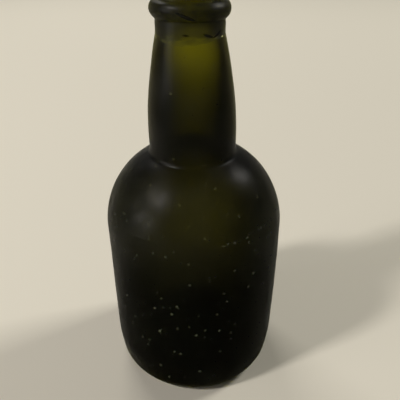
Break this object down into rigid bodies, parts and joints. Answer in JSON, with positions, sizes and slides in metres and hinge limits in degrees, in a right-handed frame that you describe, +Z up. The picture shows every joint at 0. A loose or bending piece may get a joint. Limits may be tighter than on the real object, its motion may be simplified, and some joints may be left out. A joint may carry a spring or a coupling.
{
  "type": "antique glass bottle",
  "caption": "Squat round bottle of dark olive glass with a domed shoulder, swelling neck, laid-on ring and pushed-up base, closed by a short cork that pulls out of the mouth.",
  "frame": {"origin": "middle of the standing ring, on the plane that the bottle stands on", "axes": "+Z up along the bottle's axis, through the mouth"},
  "size_m": [0.082, 0.082, 0.1985],
  "materials": {
    "olive_glass": "weathered, satin",
    "ring_glass": "tooled, satin",
    "cork": "matte, pitted"
  },
  "bodies": {
    "bottle": {"bottle_body": "olive_glass", "string_rim": "ring_glass"},
    "cork": {"cork_stopper": "cork"}
  },
  "joints": [
    {"name": "cork_pull", "type": "slide", "parent": "bottle", "child": "cork", "axis": [0, 0, 1], "range_m": [0, 0.045]}
  ]
}
